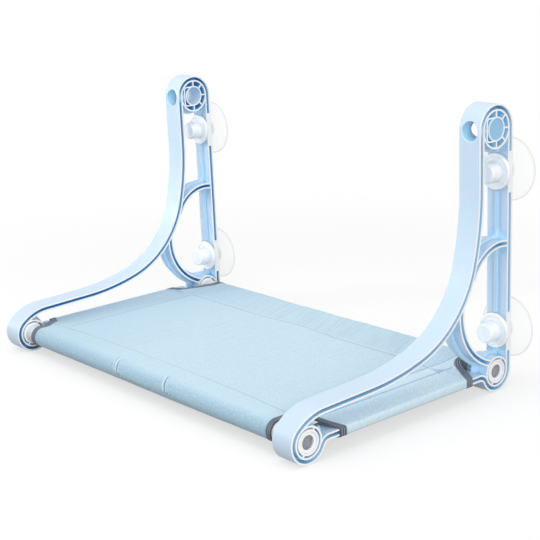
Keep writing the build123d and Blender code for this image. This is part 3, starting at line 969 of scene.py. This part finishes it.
def cut_corner(work, name, grown, keep_inside=False):
    """Cut the sheet along a corner's notch and drop the part inside it, or outside it."""
    side, hub_y, *_ = CORNERS[name]
    planes = notch_planes(name)

    def near(face):
        middle = face.calc_center_median()
        return side * middle.x > INNER_X - 60 * MM and abs(middle.y - hub_y) < 70 * MM

    for centre, way in planes:
        faces = [face for face in work.faces if near(face)]
        edges = {edge for face in faces for edge in face.edges}
        corners = {corner for face in faces for corner in face.verts}
        bmesh.ops.bisect_plane(
            work,
            geom=[*faces, *edges, *corners],
            dist=1e-7,
            plane_co=centre - way * (ROUNDING + grown),
            plane_no=way,
        )
    doomed = []
    for face in work.faces:
        inside_notch = near(face) and depth_in_notch(face.calc_center_median(), planes, grown) > 0
        if inside_notch != keep_inside:
            doomed.append(face)
    bmesh.ops.delete(work, geom=doomed, context="FACES")


def flat_size(face, work):
    """A face's size on the unrolled map, in square metres."""
    flat_map = work.loops.layers.uv.active
    corners = [loop[flat_map].uv for loop in face.loops]
    turns = zip(corners, [*corners[1:], corners[0]])
    return abs(sum(a.x * b.y - b.x * a.y for a, b in turns)) / 2


def sheet_piece(name, work, thickness, offset, finish):
    """A piece of the object from a sheet's mesh, with its thickness and finish."""
    mesh = bpy.data.meshes.new(name)
    work.to_mesh(mesh)
    work.free()
    mesh.materials.append(finish)
    piece = bpy.data.objects.new(name, mesh)
    bpy.context.scene.collection.objects.link(piece)
    solid = piece.modifiers.new("thickness", "SOLIDIFY")
    solid.thickness = thickness
    solid.offset = offset
    solid.use_rim = True
    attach(piece, "perch")
    return piece


sheet = whole_sheet()
for corner in CORNERS:
    cut_corner(sheet, corner, TAPE_W / 2)
cloth_area = sum(flat_size(face, sheet) for face in sheet.faces)
deck = sheet_piece("deck_sheet", sheet, CLOTH, -1, cloth_finish())
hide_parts("deck_cloth")

# Each tape covers both sides of the cloth's cut edge, and its map runs along and across it
grey_tape = tape_finish()
for corner in CORNERS:
    sheet = whole_sheet()
    cut_corner(sheet, corner, TAPE_W, keep_inside=True)
    cut_corner(sheet, corner, 0)
    flat_map = sheet.loops.layers.uv.active
    planes = notch_planes(corner)
    for face in sheet.faces:
        for loop in face.loops:
            u, v = loop[flat_map].uv
            loop[flat_map].uv = (u + v, depth_in_notch(loop.vert.co, planes, 0))
    tape = sheet_piece(f"edge_tape_{corner}", sheet, TAPE, -0.4, grey_tape)
    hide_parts(f"binding_{corner}")

flat_places = [point[1] for line in shaped for point in line if point]
flat_width, flat_length = (
    max(place[i] for place in flat_places) - min(place[i] for place in flat_places)
    for i in (0, 1)
)


# ---------------------------------------------------------------- studio
def softbox(name, place, target, energy, size, spread=180):
    """A white square lamp that looks at a target."""
    light = bpy.data.lights.new(name, "AREA")
    light.energy = energy
    light.size = size
    light.spread = math.radians(spread)
    lamp = bpy.data.objects.new(name, light)
    bpy.context.scene.collection.objects.link(lamp)
    lamp.location = place
    lamp.rotation_mode = "QUATERNION"
    lamp.rotation_quaternion = (Vector(target) - Vector(place)).to_track_quat("-Z", "Y")


# Each lamp's place, what it looks at, its watts, its side in metres and its spread in degrees
softbox("right softbox", (1.95, -1.05, 0.60), (0.1, 0, 0.15), 21, 1.2)
softbox("left softbox", (-1.20, -0.95, 0.55), (-0.15, 0, 0.2), 4.2, 0.6)
softbox("left grid lamp", (-1.2, -1.1, 0.75), (-0.26, 0.03, 0.25), 0.12, 0.3, 22)
softbox("top softbox", (0.15, -0.35, 1.15), (0.05, -0.05, 0), 2.8, 0.7)

# The world is white where it is seen, and lights the object less
AMBIENT = 0.74
WHITE = (1, 1, 1, 1)
scene = bpy.context.scene
world = bpy.data.worlds.new("studio white")
scene.world = world
world.use_nodes = True
room = NodeTree(world.node_tree)
ambient = room.node("ShaderNodeBackground", inputs={"Color": WHITE, "Strength": AMBIENT})
backdrop = room.node("ShaderNodeBackground", inputs={"Color": WHITE, "Strength": 1.0})
chosen = room.node("ShaderNodeMixShader", inputs={0: room.seen(), 1: ambient, 2: backdrop})
room.node("ShaderNodeOutputWorld", inputs={"Surface": chosen})

# The floor is white where it is seen, more so away from the object, and keeps its shadow
bpy.ops.object.select_all(action="DESELECT")
bpy.ops.mesh.primitive_plane_add(size=200, location=(0, 0, -0.2 * MM))
floor = bpy.context.object
floor.name = "floor"
paper = Finish("white studio floor", Roughness=0.9, Specular_IOR_Level=0.0)
seen = paper.seen()
paper.set(Base_Color=paper.mix(seen, (0.28, 0.28, 0.29, 1), (0.98, 0.98, 0.98, 1)))
x, y, _ = paper.parts(paper.place())
away = from_axis(x, y).step(0.45, 1.1)
glow = paper.node("ShaderNodeEmission")
shares = {0: seen * (0.62 + away * 0.38), 1: paper.shader, 2: glow}
floor.data.materials.append(paper.show(paper.node("ShaderNodeMixShader", inputs=shares)))

# The photograph's view, which is cropped off the camera's axis
PHOTO_SIDE = 540
PHOTO_SHIFT = 50
CAMERA_PLACE = (1.12833, -0.89430, 0.49840)
CAMERA_TURN = (72.8799, 2.5547, 49.5849)
camera_data = bpy.data.cameras.new("camera")
camera_data.sensor_width = 36
camera_data.lens = 84.6
camera_data.shift_y = PHOTO_SHIFT / PHOTO_SIDE
camera_data.clip_start = 0.05
camera_data.clip_end = 50
camera = bpy.data.objects.new("camera", camera_data)
scene.collection.objects.link(camera)
camera.location = CAMERA_PLACE
camera.rotation_euler = tuple(math.radians(a) for a in CAMERA_TURN)
scene.camera = camera
scene.view_settings.view_transform = "Standard"
